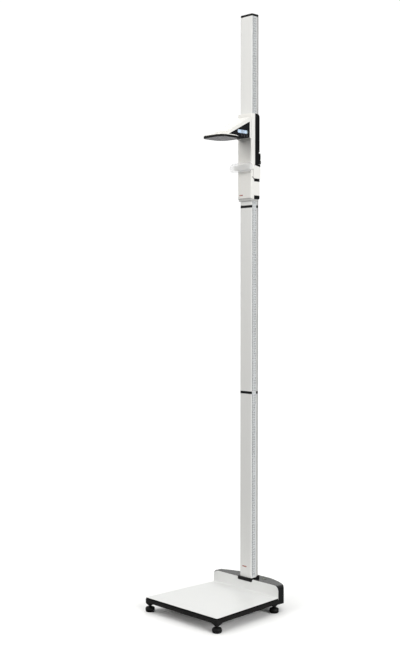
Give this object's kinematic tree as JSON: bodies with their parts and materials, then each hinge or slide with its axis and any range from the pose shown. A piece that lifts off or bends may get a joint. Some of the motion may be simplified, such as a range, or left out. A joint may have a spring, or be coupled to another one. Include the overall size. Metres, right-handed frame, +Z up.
{
  "type": "free-standing height measuring station",
  "caption": "Tall sectional measuring column on a levelled standing platform with a heel wall, carrying a braked slider with a flat head plate and a side display.",
  "frame": {"origin": "on the floor, under the middle of the whole object's bounding box", "axes": "+Z up along the column; -Y towards the person being measured; +X to the right seen from the front"},
  "size_m": [0.414, 0.466, 2.394],
  "materials": {
    "white_plastic": "fine-grained off-white moulded plastic, slightly satin",
    "white_tray": "smooth white vacuum-formed plastic, satin",
    "black_plastic": "fine-textured black moulded plastic",
    "gloss_black": "polished black panel",
    "housing_grey": "dark grey moulded cover with a soft gloss",
    "frame_coat": "charcoal powder coat on cast aluminium",
    "anodised": "silver anodised extrusion with a fine vertical brushing",
    "scale_film": "printed pale grey measuring film with dark graduations",
    "encoder_film": "dark coded tape",
    "bare_aluminium": "plain machined aluminium",
    "ballast_steel": "plain rolled steel plate",
    "zinc_steel": "zinc-plated steel",
    "brass_insert": "knurled brass",
    "stud_black": "black oxide steel",
    "foot_rubber": "matt black rubber",
    "pad_rubber": "black elastomer pads",
    "head_pad_grey": "pale violet-grey smooth plastic",
    "clear_plate": "frosted translucent acrylic",
    "lens_clear": "clear display window",
    "lcd": "pale blue-grey liquid crystal display",
    "board_green": "green solder mask",
    "radio_can": "tinned shielding can",
    "battery_jacket": "plain cell jacket",
    "contact_metal": "nickel-plated spring contact",
    "glide_nylon": "grey low-friction nylon",
    "brake_lining": "dark red-brown friction lining",
    "vial_fluid": "tinted vial with fluid and a bubble",
    "key_grey": "grey silicone key cap"
  },
  "bodies": {
    "base": {"base_frame": "frame_coat", "ballast_plate": "ballast_steel", "platform_tray": "white_tray", "tray_pads": "pad_rubber", "rear_housing": "housing_grey", "level_vial": "vial_fluid", "vial_bezel": "black_plastic", "column_spigot": "bare_aluminium", "base_bolts": "zinc_steel", "column_socket": "black_plastic", "foot_inserts": "brass_insert", "tray_seal": "pad_rubber", "column_lower": "anodised", "column_middle": "anodised", "column_upper": "anodised", "scale_strips": "scale_film", "encoder_strips": "encoder_film", "joint_trim_lower": "black_plastic", "joint_trim_upper": "black_plastic", "joint_plug_lower": "bare_aluminium", "joint_plug_upper": "bare_aluminium", "plug_screws": "zinc_steel", "top_cap": "black_plastic"},
    "slider": {"slider_shell": "white_plastic", "side_grip_right": "black_plastic", "side_grip_left": "black_plastic", "glide_upper": "glide_nylon", "glide_lower": "glide_nylon", "grip_screws": "zinc_steel", "frankfurt_clip": "white_plastic", "frankfurt_plate": "clear_plate", "head_arm": "white_plastic", "head_plate_shell": "white_plastic", "head_rim": "black_plastic", "head_pad": "head_pad_grey", "display_housing": "black_plastic", "display_panel": "gloss_black", "display_lens": "lens_clear", "lcd_module": "lcd", "main_board": "board_green", "radio_module": "radio_can", "sensor_head": "board_green", "batteries": "battery_jacket", "battery_contacts": "contact_metal", "brake_pin": "zinc_steel", "brake_spring": "zinc_steel"},
    "brake": {"brake_lever": "black_plastic", "brake_shoe": "brake_lining"},
    "battery_cover": {"battery_door": "black_plastic"},
    "key_start": {"key_start": "key_grey"},
    "key_hold": {"key_hold": "key_grey"},
    "key_send": {"key_send": "key_grey"},
    "pad_front_right": {"foot_pad_front_right": "foot_rubber"},
    "stud_front_right": {"foot_stud_front_right": "stud_black"},
    "pad_front_left": {"foot_pad_front_left": "foot_rubber"},
    "stud_front_left": {"foot_stud_front_left": "stud_black"},
    "pad_rear_right": {"foot_pad_rear_right": "foot_rubber"},
    "stud_rear_right": {"foot_stud_rear_right": "stud_black"},
    "pad_rear_left": {"foot_pad_rear_left": "foot_rubber"},
    "stud_rear_left": {"foot_stud_rear_left": "stud_black"}
  },
  "joints": [
    {"name": "slider_travel", "type": "slide", "parent": "base", "child": "slider", "axis": [0, 0, 1], "range_m": [-1.527, 0.373]},
    {"name": "brake_release", "type": "hinge", "parent": "slider", "child": "brake", "pos_m": [0.037, 0.1835, 1.8], "axis": [1, 0, 0], "range_deg": [0, 6], "stiffness_Nm_per_rad": 0.5, "springref_deg": -5.73},
    {"name": "battery_cover_slide", "type": "slide", "parent": "slider", "child": "battery_cover", "axis": [-1, 0, 0], "range_m": [0, 0.04]},
    {"name": "key_start_press", "type": "slide", "parent": "slider", "child": "key_start", "axis": [-1, 0, 0], "range_m": [0, 0.0006], "stiffness_N_per_m": 1500, "springref_m": -0.0004},
    {"name": "key_hold_press", "type": "slide", "parent": "slider", "child": "key_hold", "axis": [-1, 0, 0], "range_m": [0, 0.0006], "stiffness_N_per_m": 1500, "springref_m": -0.0004},
    {"name": "key_send_press", "type": "slide", "parent": "slider", "child": "key_send", "axis": [-1, 0, 0], "range_m": [0, 0.0006], "stiffness_N_per_m": 1500, "springref_m": -0.0004},
    {"name": "foot_front_right_rise", "type": "slide", "parent": "base", "child": "pad_front_right", "axis": [0, 0, 1], "range_m": [-0.008, 0.002]},
    {"name": "foot_front_right_screw", "type": "hinge", "parent": "pad_front_right", "child": "stud_front_right", "pos_m": [0.188, -0.214, 0.03], "axis": [0, 0, 1], "range_deg": [-2310, 580]},
    {"name": "foot_front_left_rise", "type": "slide", "parent": "base", "child": "pad_front_left", "axis": [0, 0, 1], "range_m": [-0.008, 0.002]},
    {"name": "foot_front_left_screw", "type": "hinge", "parent": "pad_front_left", "child": "stud_front_left", "pos_m": [-0.188, -0.214, 0.03], "axis": [0, 0, 1], "range_deg": [-2310, 580]},
    {"name": "foot_rear_right_rise", "type": "slide", "parent": "base", "child": "pad_rear_right", "axis": [0, 0, 1], "range_m": [-0.008, 0.002]},
    {"name": "foot_rear_right_screw", "type": "hinge", "parent": "pad_rear_right", "child": "stud_rear_right", "pos_m": [0.1685, 0.128, 0.03], "axis": [0, 0, 1], "range_deg": [-2310, 580]},
    {"name": "foot_rear_left_rise", "type": "slide", "parent": "base", "child": "pad_rear_left", "axis": [0, 0, 1], "range_m": [-0.008, 0.002]},
    {"name": "foot_rear_left_screw", "type": "hinge", "parent": "pad_rear_left", "child": "stud_rear_left", "pos_m": [-0.1685, 0.128, 0.03], "axis": [0, 0, 1], "range_deg": [-2310, 580]}
  ],
  "couplings": [
    {"joint": "foot_front_right_screw", "follows": "foot_front_right_rise", "rad_per_m": 5026.5},
    {"joint": "foot_front_left_screw", "follows": "foot_front_left_rise", "rad_per_m": 5026.5},
    {"joint": "foot_rear_right_screw", "follows": "foot_rear_right_rise", "rad_per_m": 5026.5},
    {"joint": "foot_rear_left_screw", "follows": "foot_rear_left_rise", "rad_per_m": 5026.5}
  ]
}
